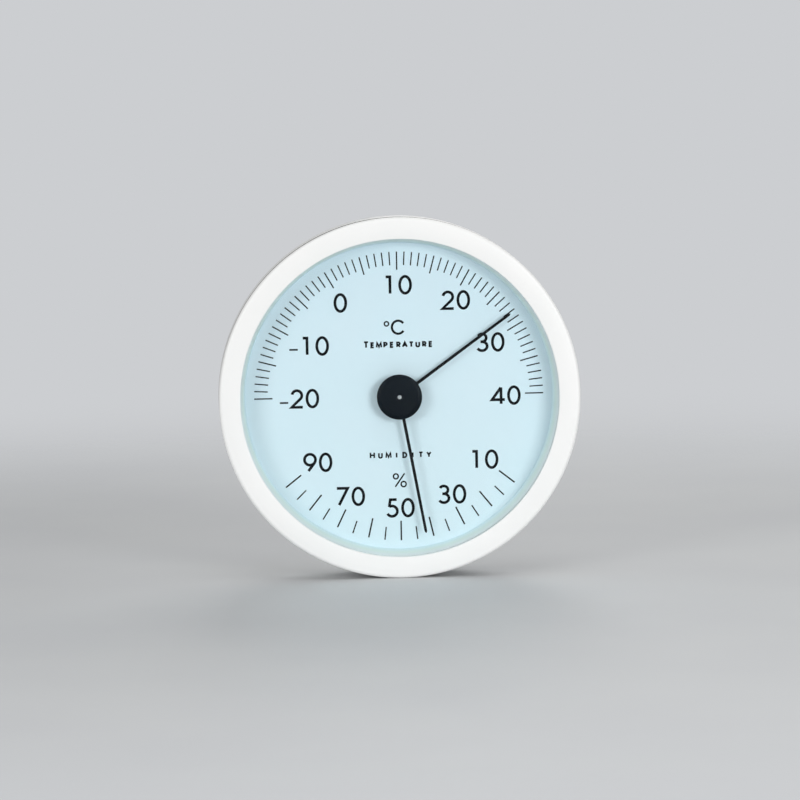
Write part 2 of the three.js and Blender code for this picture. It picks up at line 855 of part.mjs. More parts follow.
const temperatureHandCollet = handCollet(temperatureArborRadius, temperatureHandColletBack);
add(temperatureTrain, "temperature_hand_collet", temperatureHandCollet, brass);
add(temperatureTrain, "temperature_hand", temperatureHand(), blackPaint);
add(instrument, "humidity_adjuster", humidityAdjuster(), brass);
add(instrument, "adjuster_washer", adjusterWasher(), steel);
add(instrument, "adjuster_arm", adjusterArm(), brass);
add(instrument, "humidity_anchor", humidityAnchor(), brass);
const humidityCoil = coil(adjusterArmAngle, humidityColletBack, humidityColletFront);
add(instrument, "humidity_coil", humidityCoil, hygroStrip);
add(humidityTrain, "humidity_collet", humidityCollet(), brass);
add(humidityTrain, "humidity_arbor", humidityArbor(), steel);
const humidityHandCollet = handCollet(humidityArborRadius, humidityHandColletBack);
add(humidityTrain, "humidity_hand_collet", humidityHandCollet, brass);
add(humidityTrain, "humidity_hand", humidityHand(), blackPaint);
add(humidityTrain, "centre_cap", centreCap(), capPlastic);

export default instrument;
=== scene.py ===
# %% [markdown]
# # A round wall dial for temperature and humidity
#
# The object is a flat white drum, 150 mm across. A crowned ring holds a flat window over a pale
# dial, and two slim black needles turn on one centre. It is a moulded and turned object: nearly
# every part is a profile carried round one axis, so this lesson is about good profiles, soft
# corners, clean print and quiet finishes.
#
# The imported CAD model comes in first. It fixes where everything is, and nothing here moves it.
# Finer pieces then stand in front of the CAD parts that show.

import math

import bmesh
import bpy
import numpy as np
from mathutils import Euler, Matrix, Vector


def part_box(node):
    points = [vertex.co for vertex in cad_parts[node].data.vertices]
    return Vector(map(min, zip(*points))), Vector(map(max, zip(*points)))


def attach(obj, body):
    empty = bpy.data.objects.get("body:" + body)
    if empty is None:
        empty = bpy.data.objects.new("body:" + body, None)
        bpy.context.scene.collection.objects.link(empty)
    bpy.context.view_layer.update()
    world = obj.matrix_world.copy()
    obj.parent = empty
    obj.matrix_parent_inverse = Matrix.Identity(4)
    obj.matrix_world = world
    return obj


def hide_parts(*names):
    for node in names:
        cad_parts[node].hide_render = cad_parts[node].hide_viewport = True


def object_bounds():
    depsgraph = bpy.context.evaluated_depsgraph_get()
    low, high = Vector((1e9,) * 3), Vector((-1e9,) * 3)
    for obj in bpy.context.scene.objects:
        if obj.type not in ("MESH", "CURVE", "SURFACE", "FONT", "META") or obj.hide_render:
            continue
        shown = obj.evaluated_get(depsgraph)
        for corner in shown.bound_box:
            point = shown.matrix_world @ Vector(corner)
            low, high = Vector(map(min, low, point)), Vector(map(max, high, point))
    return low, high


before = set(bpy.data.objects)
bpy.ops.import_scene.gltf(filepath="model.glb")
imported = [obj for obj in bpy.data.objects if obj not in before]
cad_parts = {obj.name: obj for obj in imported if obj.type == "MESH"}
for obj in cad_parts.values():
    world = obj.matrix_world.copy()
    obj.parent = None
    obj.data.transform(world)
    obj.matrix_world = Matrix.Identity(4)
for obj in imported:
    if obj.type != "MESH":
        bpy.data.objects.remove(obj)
cad_low, cad_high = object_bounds()

# %% [markdown]
# ## Measuring from the wall
#
# On the drawing board such an instrument is measured from the wall it hangs on: every part has a
# depth in millimetres, counted towards the viewer, and a radius from the needles' axis. The wall
# is the CAD box's far side. A clock angle is 0 at twelve and grows clockwise, as on the dial.

# %% Depths, radii and clock angles
MM = 0.001
WALL = cad_high.y / MM


def reach(node):
    """How far a CAD node lies from the wall, at its back and at its front, in mm."""
    low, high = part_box(node)
    return WALL - high.y / MM, WALL - low.y / MM


def width_of(node):
    """Half of a CAD node's width, in mm, which is the radius of a round one."""
    low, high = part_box(node)
    return (high.x - low.x) / 2 / MM


CASE_RADIUS = width_of("rear_case")
DIAL_FRONT = reach("dial_plate")[1]
print("wall at", round(WALL, 3), "mm, dial's face at depth", round(DIAL_FRONT, 2), "mm")

# %% [markdown]
# ## The camera
#
# The photograph looks at the dial from a little above and a little to the left: the groove between
# the ring and the case shows only at the upper left, and the hub sits slightly high in its ring.
# The ring is almost a true circle, which tells of a long lens from far away. The dial's marks stand
# one degree to the left of upright, so the camera leans one degree. It is set up by those three
# small angles, and by what one pixel covers at the object.

# %% Camera
PICTURE = 800
PIXEL = 0.4135
VIEW_LEFT = math.radians(2.8)
VIEW_ABOVE = math.radians(6.0)
VIEW_LEAN = math.radians(1.0)
CAMERA_AWAY = 1800
SENSOR = 36
ring_front = reach("bezel")[1]
aim = np.array([-0.13, WALL - ring_front, -0.51])
outward = np.array([
    -math.sin(VIEW_LEFT) * math.cos(VIEW_ABOVE),
    -math.cos(VIEW_LEFT) * math.cos(VIEW_ABOVE),
    math.sin(VIEW_ABOVE),
])
lens = bpy.data.cameras.new("camera")
lens.sensor_width = SENSOR
lens.lens = SENSOR * CAMERA_AWAY / (PICTURE * PIXEL)
lens.clip_start = 0.05
lens.clip_end = 50
camera = bpy.data.objects.new("camera", lens)
camera.location = (aim + outward * CAMERA_AWAY) * MM
upright = Euler((math.pi / 2 - VIEW_ABOVE, 0, -VIEW_LEFT)).to_matrix()
camera.rotation_euler = (upright @ Matrix.Rotation(-VIEW_LEAN, 3, "Z")).to_euler()
bpy.context.scene.collection.objects.link(camera)
bpy.context.scene.camera = camera
bpy.context.scene.view_settings.view_transform = "Standard"
print("lens", round(lens.lens, 1), "mm")

# %% [markdown]
# ## Surfaces as grids
#
# Every new piece starts as a grid of points: one direction runs along a profile, the other along
# the way that the profile is carried. Four neighbours make a face. Points that fall together, at a
# pole or a point, are merged, open ends are filled, and the faces are turned outwards. A surface
# worked out like this has no stray points, and its fineness is one number.

# %% Grids and meshes


def woven(grid, ring_rows=False):
    """Points and faces of a grid: a face joins rows i and i+1 and columns j and j+1. The last
    column is joined to the first, and so is the last row where the rows form a ring too."""
    rows, columns = grid.shape[:2]
    i, j = np.indices((rows if ring_rows else rows - 1, columns)).reshape(2, -1)
    k, m = (i + 1) % rows, (j + 1) % columns
    corners = [i * columns + j, k * columns + j, k * columns + m, i * columns + m]
    return grid.reshape(-1, 3), np.stack(corners, axis=1)


def together(parts):
    """Several lots of points and faces as one, with the faces' numbers moved on."""
    starts = np.cumsum([0] + [len(points) for points, _ in parts[:-1]])
    points = np.concatenate([points for points, _ in parts])
    faces = np.concatenate([faces + start for (_, faces), start in zip(parts, starts)])
    return points, faces


def soften(piece, crease=38):
    """Smooth shading, except over edges that bend by more than the crease angle."""
    piece.data.shade_smooth()
    piece.data.set_sharp_from_angle(angle=math.radians(crease))
    return piece


def make(name, *parts):
    """An object from points in mm and faces: doubles merged, open ends filled, faces outwards."""
    points, faces = together(parts)
    mesh = bpy.data.meshes.new(name)
    mesh.from_pydata((points * MM).tolist(), [], faces.tolist())
    work = bmesh.new()
    work.from_mesh(mesh)
    bmesh.ops.remove_doubles(work, verts=work.verts, dist=1e-7)
    bmesh.ops.holes_fill(work, edges=[edge for edge in work.edges if edge.is_boundary], sides=0)
    bmesh.ops.recalc_face_normals(work, faces=work.faces)
    work.to_mesh(mesh)
    work.free()
    piece = bpy.data.objects.new(name, mesh)
    bpy.context.scene.collection.objects.link(piece)
    return soften(piece)


# %% [markdown]
# ## Profiles with soft corners
#
# No moulded or turned edge is perfectly sharp: a mould is cut with a small tool, and paint and
# handling round what is left. A soft corner catches a thin line of light, and that line is most of
# what makes a plain white ring look real. So a profile is written as its few sharp corners, each
# with a radius, and one formula puts an arc into every corner.

# %% Soft corners and turned shapes


def unit(vectors):
    """Rows of two numbers, each row divided by its length."""
    return vectors / np.linalg.norm(vectors, axis=1, keepdims=True)


def softened(corners, steps=6):
    """A closed profile whose corners are arcs. A corner with sides u and v and radius r has its
    arc's centre on the line that halves it, at r over the sine of half its angle, and the arc
    starts and ends at r over the tangent of that half angle along each side."""
    corners = np.asarray(corners, float)
    at, radius = corners[:, :2], corners[:, 2:3]
    u = unit(np.roll(at, 1, axis=0) - at)
    v = unit(np.roll(at, -1, axis=0) - at)
    half = np.arccos(np.clip(np.sum(u * v, axis=1, keepdims=True), -1, 1)) / 2
    halving = u + v
    size = np.linalg.norm(halving, axis=1, keepdims=True)
    halving = np.where(size < 1e-6, 0, halving / np.maximum(size, 1e-9))
    centre = at + halving * radius / np.sin(half)
    first = at + u * radius / np.tan(half) - centre
    last = at + v * radius / np.tan(half) - centre
    sweep = np.maximum(math.pi - 2 * half, 1e-6)[:, :, None]
    share = np.linspace(0, 1, steps)[None, :, None]
    arc = (np.sin((1 - share) * sweep) * first[:, None] + np.sin(share * sweep) * last[:, None])
    arc = centre[:, None] + arc / np.sin(sweep)
    arc = np.where(radius[:, :, None] > 0, arc, at[:, None])
    return arc.reshape(-1, 2)


def turned(profile, steps=240):
    """A closed profile of radius and depth carried round the axis: at clock angle a, the point
    (r, d) lies at x = r sin a and z = r cos a, and y is the wall less the depth."""
    clock = np.arange(steps)[:, None] * 2 * math.pi / steps
    radius, depth = np.asarray(profile, float).T
    grid = np.stack([
        radius * np.sin(clock),
        np.broadcast_to(WALL - depth, (steps, len(depth))),
        radius * np.cos(clock),
    ], axis=-1)
    return woven(grid, ring_rows=True)


# %% [markdown]
# ## Finishes
#
# Each finish is a small recipe: two close tones in soft patches, because no batch of plastic,
# paint or metal is one flat colour; a roughness that wanders a little; and a fine relief for the
# mould's texture, the print's grain or the tool's marks. All of them read the piece's own
# coordinates, so a pattern stays on its piece when the piece turns. Colours are written as a
# screen shows them, from 0 to 255.

# %% Finishes


def tone(red, green, blue):
    """A screen colour as the linear values that a shader takes."""
    share = np.array([red, green, blue]) / 255
    linear = np.where(share <= 0.04045, share / 12.92, ((share + 0.055) / 1.055) ** 2.4)
    return (*linear.tolist(), 1.0)


class Recipe:
    """A material being built: its nodes, its links and its shader."""

    def __init__(self, name):
        self.material = bpy.data.materials.new(name)
        self.material.use_nodes = True
        self.nodes = self.material.node_tree.nodes
        self.links = self.material.node_tree.links
        self.shader = self.nodes["Principled BSDF"]
        self.place = self.nodes.new("ShaderNodeTexCoord").outputs["Object"]

    def link(self, source, target):
        self.links.new(source, target)

    def noise(self, size, detail=3, stretch=(1, 1, 1)):
        """A noise whose patches are about size millimetres across, stretched along the axes."""
        squeeze = self.nodes.new("ShaderNodeMapping")
        squeeze.inputs["Scale"].default_value = [1 / s for s in stretch]
        self.link(self.place, squeeze.inputs["Vector"])
        texture = self.nodes.new("ShaderNodeTexNoise")
        texture.inputs["Scale"].default_value = 1 / (size * MM)
        texture.inputs["Detail"].default_value = detail
        self.link(squeeze.outputs["Vector"], texture.inputs["Vector"])
        return texture.outputs["Fac"]

    def along(self, axis):
        """The piece's own X, Y or Z, in metres, at the point that is shaded."""
        parts = self.nodes.new("ShaderNodeSeparateXYZ")
        self.link(self.place, parts.inputs["Vector"])
        return parts.outputs[axis]

    def ramp(self, value, start, end, low=0.0, high=1.0):
        """A number that goes from low to high, and no further, as a value goes from start to
        end."""
        span = self.nodes.new("ShaderNodeMapRange")
        ends = {"From Min": start, "From Max": end, "To Min": low, "To Max": high}
        for socket, number in ends.items():
            span.inputs[socket].default_value = number
        self.link(value, span.inputs["Value"])
        return span.outputs["Result"]

    def spread(self, value, low, high):
        """A noise value, which mostly lies between 0.3 and 0.7, spread from low to high."""
        return self.ramp(value, 0.3, 0.7, low, high)

    def reckon(self, operation, first, second):
        """Two numbers worked into one."""
        node = self.nodes.new("ShaderNodeMath")
        node.operation = operation
        self.link(first, node.inputs[0])
        self.link(second, node.inputs[1])
        return node.outputs["Value"]

    def blend(self, share, first, second):
        """A colour between two, by a share from 0 to 1."""
        mix = self.nodes.new("ShaderNodeMix")
        mix.data_type = "RGBA"
        self.link(share, mix.inputs["Factor"])
        for socket, colour in ((6, first), (7, second)):
            if isinstance(colour, tuple):
                mix.inputs[socket].default_value = colour
            else:
                self.link(colour, mix.inputs[socket])
        return mix.outputs[2]

    def paint(self, share, first, second):
        """Gives the piece its colour: a blend of two."""
        self.link(self.blend(share, first, second), self.shader.inputs["Base Color"])

    def grain(self, size, rough, rise, stretch=(1, 1, 1)):
        """A fine noise. The roughness wanders with it between two values, and its highest points
        stand rise millimetres proud."""
        fine = self.noise(size, detail=4, stretch=stretch)
        self.link(self.spread(fine, *rough), self.shader.inputs["Roughness"])
        bump = self.nodes.new("ShaderNodeBump")
        bump.inputs["Distance"].default_value = rise * MM
        self.link(fine, bump.inputs["Height"])
        self.link(bump.outputs["Normal"], self.shader.inputs["Normal"])

    def let_through(self, share, colour=(1, 1, 1, 1)):
        """Lets a share of the rays go straight through the piece, tinted by a colour."""
        clear = self.nodes.new("ShaderNodeBsdfTransparent")
        clear.inputs["Color"].default_value = colour
        mix = self.nodes.new("ShaderNodeMixShader")
        self.link(share, mix.inputs["Fac"])
        self.link(self.shader.outputs["BSDF"], mix.inputs[1])
        self.link(clear.outputs["BSDF"], mix.inputs[2])
        self.link(mix.outputs["Shader"], self.nodes["Material Output"].inputs["Surface"])


def finish(name, tones, patch, rough, grain, rise, metal=0.0, stretch=(1, 1, 1), shine=0.5):
    """Two tones in patches, a roughness range, and a grain with its rise, both in mm."""
    recipe = Recipe(name)
    recipe.paint(recipe.spread(recipe.noise(patch), 0, 1), tone(*tones[0]), tone(*tones[1]))
    recipe.grain(grain, rough, rise, stretch)
    recipe.shader.inputs["Metallic"].default_value = metal
    recipe.shader.inputs["Specular IOR Level"].default_value = shine
    return recipe.material


brass = finish(
    "brass", ((176, 136, 66), (206, 168, 92)), 5, (0.24, 0.42), 0.12, 0.003, 1.0, (6, 1, 1)
)
steel = finish(
    "steel", ((150, 153, 158), (186, 189, 193)), 3, (0.20, 0.36), 0.1, 0.002, 1.0, (1, 5, 1)
)
bimetal = finish(
    "bimetal_strip", ((146, 128, 108), (176, 160, 138)), 4, (0.3, 0.5), 0.1, 0.002, 1.0
)
moisture_strip = finish(
    "humidity_strip", ((134, 158, 144), (164, 184, 170)), 4, (0.4, 0.6), 0.15, 0.004, 0.4
)
rubber = finish("seal_rubber", ((34, 36, 37), (46, 48, 49)), 6, (0.7, 0.9), 0.2, 0.01)
print("finishes:", len(bpy.data.materials))

# %% [markdown]
# ## The movement inside
#
# Behind the dial sit two plates on pillars, two wound strips and the turned parts that they drive.
# Little of it shows, through the vents in the back, and the CAD shapes are right as they are. They
# keep their meshes and get the metals they are made of.

# %% Metals for the CAD parts
for stuff, names in (
    (brass, "front_plate rear_plate pillar_1 pillar_2 pillar_3 centre_bush centre_nut"),
    (brass, "temperature_anchor temperature_collet temperature_hand_collet"),
    (brass, "adjuster_arm humidity_anchor humidity_collet humidity_hand_collet"),
    (steel, "temperature_arbor adjuster_washer pillar_screw_1 pillar_screw_2 pillar_screw_3"),
    (bimetal, "temperature_coil"),
    (moisture_strip, "humidity_coil"),
    (rubber, "glass_gasket"),
):
    for name in names.split():
        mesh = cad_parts[name].data
        mesh.materials.clear()
        mesh.materials.append(stuff)
    print(f"{stuff.name}: {names}")


def fit(piece, body, slot, material, *stands_for):
    """Gives a piece its finish and body, and hides the CAD nodes that it stands for.
    The slot is not used.
    """
    piece.data.materials.clear()
    piece.data.materials.append(material)
    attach(piece, body)
    if stands_for:
        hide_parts(*stands_for)
    faces = len(piece.data.polygons)
    print(f"{piece.name}: {faces} faces, {material.name}, stands for {list(stands_for)}")
    return piece


# %% [markdown]
# ## The front ring
#
# The ring is one moulding. From the front one sees a broad white band with a soft outer edge and
# a tighter edge over the window; behind it hang a spigot that enters the case and a skirt that
# goes round the glass. Between ring and case runs a shadow gap. It hides that two mouldings never
# meet exactly, and it is the dark line that the photograph shows at the upper left.
#
# A modelled circle with a bevel would do for the front. A turned profile gives the whole moulding
# at once, and the crown of the band is a parabola between the two edges.
#
# Painted shade darkens the gap: the white plastic of both mouldings turns grey by place, only
# between the gap's two sides, and only below the outer face.

# %% Front ring
OPENING = 66.1
LIP_BACK = ring_front - 1.8
CROWN = 0.25
SPIGOT_BACK, RIM = reach("bezel")[0], reach("rear_case")[1]
BEZEL_RIM = RIM + 0.1
GAP_FRONT = BEZEL_RIM + 3.2
GAP_DEPTH = 1.6
SPIGOT_OUT, SPIGOT_IN = 72.6, 71.6
SKIRT_BACK = DIAL_FRONT - 1.9
SKIRT_OUT, SKIRT_IN = 69.0, 67.9
share = np.linspace(-0.42, 0.42, 13)
band_middle, band_width = (OPENING + CASE_RADIUS) / 2, CASE_RADIUS - OPENING - 2.1
crown = np.stack([
    band_middle - 0.55 + share * band_width,
    ring_front - 4 * CROWN * share**2,
    np.zeros_like(share),
], axis=1)
ring_corners = [
    (OPENING, LIP_BACK, 0.15),
    (OPENING, ring_front - CROWN, 0.35),
    *crown.tolist(),
    (CASE_RADIUS, ring_front - CROWN, 1.6),
    (CASE_RADIUS, GAP_FRONT, 0.25),
    (CASE_RADIUS - GAP_DEPTH, GAP_FRONT, 0.2),
    (CASE_RADIUS - GAP_DEPTH, BEZEL_RIM, 0.1),
    (SPIGOT_OUT, BEZEL_RIM, 0.1),
    (SPIGOT_OUT, SPIGOT_BACK, 0.2),
    (SPIGOT_IN, SPIGOT_BACK, 0.2),
    (SPIGOT_IN, LIP_BACK, 0.3),
    (SKIRT_OUT, LIP_BACK, 0.3),
    (SKIRT_OUT, SKIRT_BACK, 0.2),
    (SKIRT_IN, SKIRT_BACK, 0.2),
    (SKIRT_IN, LIP_BACK, 0.1),
]
bezel_ring = make("bezel_ring", turned(softened(ring_corners), 288))

# %% White plastic
# Painted shade: the grey tone that darkens the inside of the shadow gap.
PAINTED_GAP_SHADE = tone(92, 90, 84)


def moulded_white():
    """Satin white plastic in two close tones, turned grey inside the shadow gap by painted shade.
    The painted shade is a product of four ramps: two over the depth, one at each side of the
    gap, and two over the radius, one just below the outer face and one at the bottom of the gap."""
    recipe = Recipe("white_plastic")
    patches = recipe.spread(recipe.noise(28), 0, 1)
    white = recipe.blend(patches, tone(250, 251, 250), tone(253, 253, 252))
    recipe.shader.inputs["Specular IOR Level"].default_value = 0.35
    depth = recipe.along("Y")
    flat = recipe.nodes.new("ShaderNodeVectorMath")
    flat.operation = "MULTIPLY"
    flat.inputs[1].default_value = (1, 0, 1)
    recipe.link(recipe.place, flat.inputs[0])
    radius = recipe.nodes.new("ShaderNodeVectorMath")
    radius.operation = "LENGTH"
    recipe.link(flat.outputs["Vector"], radius.inputs[0])
    radius = radius.outputs["Value"]
    painted_gap_shade = None
    # The painted shade's mask: it is high only inside the shadow gap.
    for value, start, full in (
        (depth, WALL - GAP_FRONT - 0.05, WALL - GAP_FRONT + 0.05),
        (depth, WALL - RIM + 0.35, WALL - RIM + 0.12),
        (radius, CASE_RADIUS, CASE_RADIUS - 0.15),
        (radius, CASE_RADIUS - 3.5, CASE_RADIUS - 3),
    ):
        share = recipe.ramp(value, start * MM, full * MM)
        painted_gap_shade = share if painted_gap_shade is None else recipe.reckon("MULTIPLY", painted_gap_shade, share)
    recipe.paint(painted_gap_shade, white, PAINTED_GAP_SHADE)
    recipe.grain(0.35, (0.30, 0.42), 0.006)
    return recipe.material


white_plastic = moulded_white()

# %% [markdown]
# ## Shapes that are cut and joined
#
# The back of the case has ribs, screw towers, slots and round holes. They are made as separate
# closed shapes and then worked in with exact Booleans, which keep the wall closed. A cutter flares
# a little where it leaves the wall, so that each mouth gets the soft edge that a mould gives it.
#
# One shape serves for every hole: a slot with round ends whose radius changes with depth. When its
# two ends are at the same place, it is a round hole.

# %% Slots, holes and Booleans


def slotted(levels, low, high, steps=12):
    """A slot that runs up from low to high at twelve o'clock. Each level is a depth and a radius:
    at that depth, half circles of that radius go round the two ends."""
    depth, radius = np.asarray(levels, float).T[:, :, None]
    turn = np.linspace(0, math.pi, steps + 1)
    way = np.concatenate([turn, turn + math.pi])
    end = np.concatenate([np.full(steps + 1, high), np.full(steps + 1, low)])
    x, z = radius * np.cos(way), end + radius * np.sin(way)
    grid = np.stack([x, np.broadcast_to(WALL - depth, x.shape), z], axis=-1)
    return woven(grid)


def clocked(part, angle):
    """A part made at twelve o'clock, turned clockwise about the axis by an angle in radians."""
    points, faces = part
    x, y, z = points.T
    c, s = math.cos(angle), math.sin(angle)
    return np.stack([x * c + z * s, y, z * c - x * s], axis=1), faces


def turn_piece(piece, angle, up=0.0):
    """Moves a finished piece up by so many mm and then turns it clockwise about the axis."""
    points = np.empty(len(piece.data.vertices) * 3)
    piece.data.vertices.foreach_get("co", points)
    points = points.reshape(-1, 3) + [0, 0, up * MM]
    piece.data.vertices.foreach_set("co", clocked((points, None), angle)[0].ravel())
    return soften(piece)


def around(count, start, part):
    """Copies of a part at even clock angles, from start, in degrees."""
    angles = np.radians(start + np.arange(count) * 360 / count)
    return [clocked(part, angle) for angle in angles]


def slab(outline, thickness):
    """A flat outline of radius and depth at twelve o'clock, given a thickness across."""
    radius, depth = np.asarray(outline, float).T
    side = np.array([-0.5, 0.5])[:, None] * thickness
    grid = np.stack(np.broadcast_arrays(side, WALL - depth, radius), axis=-1)
    return woven(grid)


def settle(piece):
    """Works a piece's modifiers into its mesh."""
    graph = bpy.context.evaluated_depsgraph_get()
    piece.data = bpy.data.meshes.new_from_object(piece.evaluated_get(graph))
    piece.modifiers.clear()
    return piece


def work_in(piece, operation, *parts):
    """Joins closed parts to a piece, or cuts them out of it, with an exact Boolean."""
    tool = make("tool", *parts)
    change = piece.modifiers.new("change", "BOOLEAN")
    change.operation, change.solver, change.object = operation, "EXACT", tool
    settle(piece)
    bpy.data.objects.remove(tool)
    return piece


# %% [markdown]
# ## Pilot holes in the ring
#
# Three screws from the back pull the ring onto the case. They bite in bosses that stand between
# the ring's wall and its skirt. No one sees them on a closed instrument, but a ring that is lifted
# off its case shows them first.

# %% Bosses and pilot holes
SCREWS = 3
SCREW_START = 30
SCREW_CIRCLE = 70.3
HEAD_BACK, SCREW_TIP = reach("case_screw_1")


def at_screws(levels, steps=12):
    """A round shape of the given levels at each of the case screws."""
    return around(SCREWS, SCREW_START, slotted(levels, SCREW_CIRCLE, SCREW_CIRCLE, steps))


for boss in at_screws([(SPIGOT_BACK, 1.8), (LIP_BACK + 0.5, 1.8)]):
    work_in(bezel_ring, "UNION", boss)
pilots = at_screws([(SPIGOT_BACK - 1, 1.4), (SPIGOT_BACK + 0.3, 1.1), (SCREW_TIP + 1.2, 1.1)])
work_in(bezel_ring, "DIFFERENCE", *pilots)
soften(bezel_ring)
fit(bezel_ring, "root", "white_shell", white_plastic, "bezel")

# %% [markdown]
# ## The case
#
# The case is a shallow cup. Its side is straight below the rim and then draws in towards the back,
# so that from the front only a thin white line of it shows beyond the ring. A low ring on the back
# keeps the vents clear of the wall, with four gaps in it for the air. The keyhole takes the wall
# screw, the slots let the room's air to the humidity strip, and the middle hole gives a
# screwdriver the adjuster.

# %% Case cup
BAND_BACK = RIM - 9
REAR = CASE_RADIUS - 1.4
SIDE = 2.2
BACK_OUT, BACK_IN = 2, 4
RING_IN, RING_OUT = 58, 61
cup_corners = [
    (0, BACK_OUT, 0),
    (RING_IN, BACK_OUT, 0.3),
    (RING_IN, 0, 0.35),
    (RING_OUT, 0, 0.35),
    (RING_OUT, BACK_OUT, 0.3),
    (REAR, BACK_OUT, 1.0),
    (CASE_RADIUS, BAND_BACK, 3.0),
    (CASE_RADIUS, RIM, 0.3),
    (CASE_RADIUS - SIDE, RIM, 0.15),
    (CASE_RADIUS - SIDE, BAND_BACK, 2.0),
    (REAR - SIDE, BACK_IN, 1.0),
    (0, BACK_IN, 0),
]
case_shell = make("case_shell", turned(softened(cup_corners), 240))

# %% [markdown]
# ## Inside the case
#
# Three towers take the case screws. Six ribs stand at the side and stop the dial from sinking in.
# A thicker pad backs the keyhole, because there the whole weight hangs. All of them start inside
# the back, so that each one meets it in a clean line.

# %% Towers, ribs and pad
INSIDE_BACK = BACK_IN - 1
TOWER_TOP = 15.9
DIAL_SEAT = 17.8
PAD_IN = 5.4
KEY_LOW, KEY_HIGH = 44, 53
towers = at_screws([(INSIDE_BACK, 3.0), (TOWER_TOP - 0.2, 3.0), (TOWER_TOP, 2.8)])
rib_outline = [
    (57.4, INSIDE_BACK),
    (72.3, INSIDE_BACK),
    (73.9, BAND_BACK),
    (73.9, TOWER_TOP),
    (67.6, TOWER_TOP),
    (67.6, DIAL_SEAT),
    (64.4, DIAL_SEAT),
]
ribs = around(6, 0, slab(rib_outline, 1.8))
pad_levels = [(INSIDE_BACK, 6.9), (PAD_IN - 0.3, 6.9), (PAD_IN, 6.6)]
pad = slotted(pad_levels, KEY_LOW, KEY_HIGH - 2.4)
for part in (*towers, *ribs, pad):
    work_in(case_shell, "UNION", part)
print("case with its inside:", len(case_shell.data.polygons), "faces")

# %% [markdown]
# ## Holes in the back
#
# Twenty slots stand round the middle like rays. The keyhole is a round hole that a screw's head
# passes, with a narrower slot above it that holds the screw's neck. Each case screw has a wide
# counterbore for its head and a narrow bore for its shaft. Cutters that reach past both faces of a
# wall never leave a thin skin behind.

# %% Holes in the back


def mouth(radius, back, front, flare=0.35):
    """Levels of a hole through a wall, flared where it enters and leaves."""
    return [
        (back - 1, radius + flare + 1),
        (back, radius + flare),
        (back + flare, radius),
        (front - flare, radius),
        (front, radius + flare),
        (front + 1, radius + flare + 1),
    ]


vents = around(20, 9, slotted(mouth(1.3, BACK_OUT, BACK_IN, 0.3), 22, 36, 6))
key_head = slotted(mouth(4.5, BACK_OUT, PAD_IN), KEY_LOW, KEY_LOW, 24)
key_slot = slotted(mouth(2.3, BACK_OUT, PAD_IN, 0.3), KEY_LOW, KEY_HIGH)
driver_hole = slotted(mouth(4.3, BACK_OUT, BACK_IN, 0.4), 0, 0, 24)
bores = at_screws([(BACK_OUT - 1, 3.3), (BACK_OUT, 2.5), (BACK_OUT + 0.3, 2.2), (8, 2.2)])
shafts = at_screws([(7, 1.1), (17, 1.1)], 8)
gap_in, gap_out = RING_IN - 2, RING_OUT + 2
gap_outline = [(gap_in, -1), (gap_out, -1), (gap_out, BACK_OUT), (gap_in, BACK_OUT)]
air_gaps = around(4, 45, slab(gap_outline, 12))
for cutters in (vents, [key_head], [key_slot], [driver_hole], bores, shafts, air_gaps):
    work_in(case_shell, "DIFFERENCE", *cutters)
soften(case_shell, 32)
fit(case_shell, "root", "white_shell", white_plastic, "rear_case")

# %% [markdown]
# ## Case screws
#
# A self-tapping screw with a low cylinder head and a cross recess sits deep in each counterbore.
# The head is turned, and the cross is two tapered slots cut into it.

# %% Case screws
screw_corners = [
    (0, HEAD_BACK, 0),
    (2.0, HEAD_BACK, 0.3),
    (2.0, HEAD_BACK + 1.4, 0.1),
    (1.0, HEAD_BACK + 1.4, 0.1),
    (1.0, SCREW_TIP - 1, 0.2),
    (0, SCREW_TIP, 0),
]


def tapered_bar(length, width, back, front, narrowing):
    """A bar across the axis whose width and length shrink by narrowing on the way in."""
    depth = np.array([back, front])[:, None]
    less = np.array([0, narrowing])[:, None]
    x = np.array([-1, 1, 1, -1]) * (length / 2 - less)
    z = np.array([-1, -1, 1, 1]) * (width / 2 - less / 2)
    return woven(np.stack([x, np.broadcast_to(WALL - depth, x.shape), z], axis=-1))


cross_bar = tapered_bar(2.5, 0.75, HEAD_BACK - 0.1, HEAD_BACK + 0.8, 0.25)
for i in range(SCREWS):
    screw = make(f"cross_screw_{i + 1}", turned(softened(screw_corners, 4), 40))
    work_in(screw, "DIFFERENCE", cross_bar)
    work_in(screw, "DIFFERENCE", clocked(cross_bar, math.pi / 2))
    turn_piece(screw, math.radians(SCREW_START + i * 360 / SCREWS), SCREW_CIRCLE)
    fit(screw, "root", "steel_parts", steel, f"case_screw_{i + 1}")

# %% [markdown]
# ## The adjuster
#
# In the middle of the back sits a brass screw with one straight slot. It turns the anchor of the
# humidity strip, and with it the needle, when the instrument is set against a better one.

# %% Adjuster
ADJUST_BACK, ADJUST_FRONT = reach("humidity_adjuster")
adjuster_corners = [
    (0, ADJUST_BACK, 0),
    (4.0, ADJUST_BACK, 0.4),
    (4.0, 5.1, 0.1),
    (2.5, 5.1, 0.1),
    (2.5, ADJUST_FRONT, 0.2),
    (0.5, ADJUST_FRONT, 0.05),
    (0.5, ADJUST_FRONT - 1.4, 0),
    (0, ADJUST_FRONT - 1.4, 0),
]
slotted_screw = make("slotted_screw", turned(softened(adjuster_corners, 4), 72))
slot_bar = tapered_bar(10, 1.2, ADJUST_BACK - 0.1, ADJUST_BACK + 1.2, 0.1)
work_in(slotted_screw, "DIFFERENCE", slot_bar)
soften(slotted_screw)
fit(slotted_screw, "adjuster", "brass_parts", brass, "humidity_adjuster")
